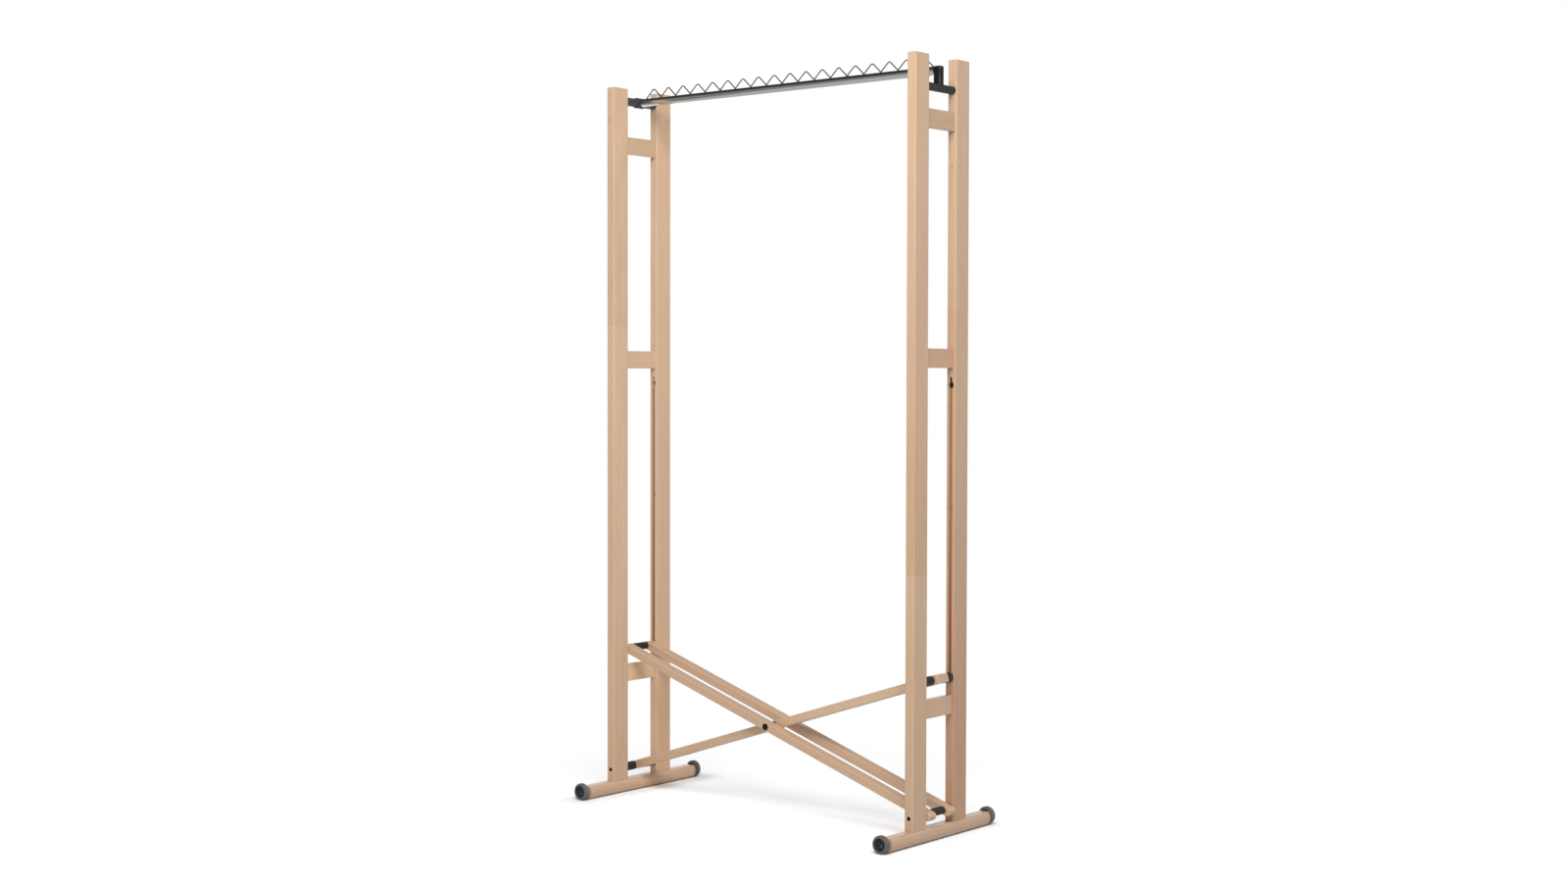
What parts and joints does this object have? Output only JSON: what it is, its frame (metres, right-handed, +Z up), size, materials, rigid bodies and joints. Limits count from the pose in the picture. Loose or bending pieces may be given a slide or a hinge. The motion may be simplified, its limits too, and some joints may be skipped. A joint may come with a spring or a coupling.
{
  "type": "clothes rack",
  "caption": "Folding wooden clothes rack: ladder frames on rollers joined by crossing braces, with a chromed hanging rail and a zigzag wire that keeps hangers apart.",
  "frame": {"origin": "on the floor under the middle of the open rack, midway between the frames", "axes": "+X from the frame that carries the rail's pivot to the frame it hooks on, +Y from front to rear, +Z up"},
  "size_m": [0.9745, 0.4298, 1.7828],
  "materials": {
    "beech": "clear matt lacquer",
    "black_plastic": "satin",
    "black_steel": "satin",
    "steel": "zinc plated",
    "chrome": "polished",
    "tyre": "matt"
  },
  "bodies": {
    "left_frame": {"left_front_post": "beech", "left_rear_post": "beech", "left_upper_rail": "beech", "left_middle_rail": "beech", "left_lower_rail": "beech", "left_foot": "beech", "left_crossbar": "black_plastic", "left_rail_dowels": "beech", "left_post_dowels": "beech", "left_pivot_bolt": "black_steel", "left_pivot_nut": "black_steel", "left_axle_screws": "steel"},
    "wide_brace": {"wide_bar": "beech", "wide_pivot_sleeves": "black_plastic", "wide_slider_sleeves": "black_plastic", "wide_slider_rod": "steel"},
    "twin_brace": {"twin_front_bar": "beech", "twin_rear_bar": "beech", "twin_lower_spacer": "black_plastic", "twin_upper_spacer": "black_plastic", "twin_slider_rod": "steel", "twin_pivot_washers": "black_plastic", "centre_washers": "black_plastic", "centre_bolt": "black_steel", "centre_nut": "black_steel"},
    "right_frame": {"right_front_post": "beech", "right_rear_post": "beech", "right_upper_rail": "beech", "right_middle_rail": "beech", "right_lower_rail": "beech", "right_foot": "beech", "right_crossbar": "black_plastic", "right_rail_dowels": "beech", "right_post_dowels": "beech", "right_pivot_bolt": "black_steel", "right_pivot_nut": "black_steel", "right_axle_screws": "steel"},
    "hanging_rail": {"rail_tube": "chrome", "hanger_wire": "chrome", "rail_knuckle": "black_plastic", "rail_hook": "black_plastic", "rail_screws": "chrome"},
    "left_front_roller": {"left_front_tyre": "tyre", "left_front_hub": "black_plastic"},
    "left_rear_roller": {"left_rear_tyre": "tyre", "left_rear_hub": "black_plastic"},
    "right_front_roller": {"right_front_tyre": "tyre", "right_front_hub": "black_plastic"},
    "right_rear_roller": {"right_rear_tyre": "tyre", "right_rear_hub": "black_plastic"}
  },
  "joints": [
    {"name": "fold", "type": "hinge", "parent": "left_frame", "child": "wide_brace", "pos_m": [-0.466, 0, 0.062], "axis": [0, -1, 0], "range_deg": [0, 66.4]},
    {"name": "brace_cross", "type": "hinge", "parent": "wide_brace", "child": "twin_brace", "pos_m": [0, 0, 0.2135], "axis": [0, -1, 0], "range_deg": [-132.8, 0]},
    {"name": "right_frame_pivot", "type": "hinge", "parent": "twin_brace", "child": "right_frame", "pos_m": [0.466, 0, 0.062], "axis": [0, -1, 0], "range_deg": [0, 66.4]},
    {"name": "rail_lift", "type": "hinge", "parent": "left_frame", "child": "hanging_rail", "pos_m": [-0.466, 0, 1.75], "axis": [0, -1, 0], "range_deg": [0, 240]},
    {"name": "left_front_roll", "type": "hinge", "parent": "left_frame", "child": "left_front_roller", "pos_m": [-0.466, -0.2079, 0.021], "axis": [0, 1, 0], "continuous": true},
    {"name": "left_rear_roll", "type": "hinge", "parent": "left_frame", "child": "left_rear_roller", "pos_m": [-0.466, 0.2079, 0.021], "axis": [0, 1, 0], "continuous": true},
    {"name": "right_front_roll", "type": "hinge", "parent": "right_frame", "child": "right_front_roller", "pos_m": [0.466, -0.2079, 0.021], "axis": [0, 1, 0], "continuous": true},
    {"name": "right_rear_roll", "type": "hinge", "parent": "right_frame", "child": "right_rear_roller", "pos_m": [0.466, 0.2079, 0.021], "axis": [0, 1, 0], "continuous": true}
  ],
  "couplings": [
    {"joint": "brace_cross", "follows": "fold", "ratio": -2},
    {"joint": "right_frame_pivot", "follows": "fold", "ratio": 1}
  ]
}
